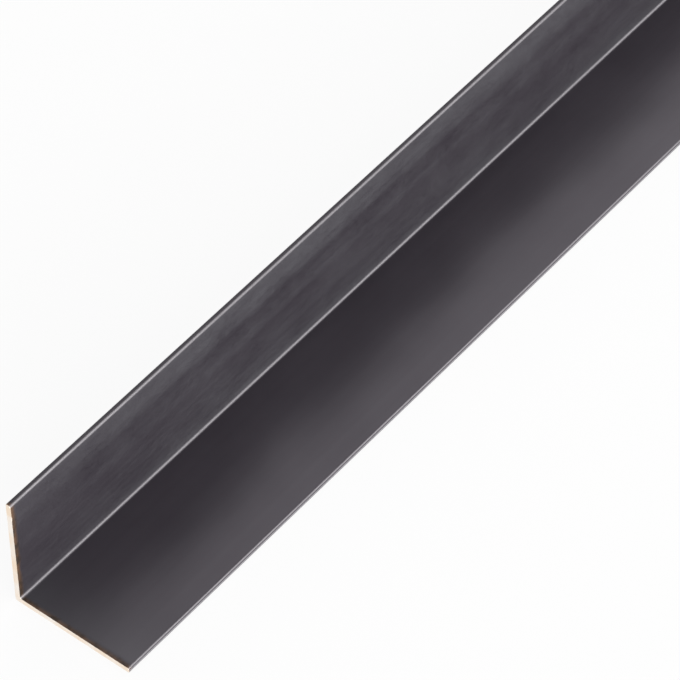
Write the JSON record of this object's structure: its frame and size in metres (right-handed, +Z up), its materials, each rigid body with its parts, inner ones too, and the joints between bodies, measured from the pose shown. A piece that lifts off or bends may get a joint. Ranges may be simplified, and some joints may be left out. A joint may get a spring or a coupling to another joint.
{
  "type": "metal angle section",
  "caption": "Thin-walled equal-leg metal angle, an L-shaped extruded bar with crisp corners, dark satin faces and bright square-cut ends, for framing, edging and joining.",
  "frame": {"origin": "middle of the bar's length, at floor level, halfway across the lying leg", "axes": "+X along the bar; +Y from the free edge of the lying leg to the heel, where the other leg stands; +Z up, along the standing leg"},
  "size_m": [1, 0.0356, 0.0355],
  "materials": {
    "dark_anodised_aluminium": "dark anodised, satin, with fine lengthwise die lines; bare bright metal on the sawn ends"
  },
  "bodies": {
    "root": {"angle_bar": "dark_anodised_aluminium"}
  },
  "joints": []
}
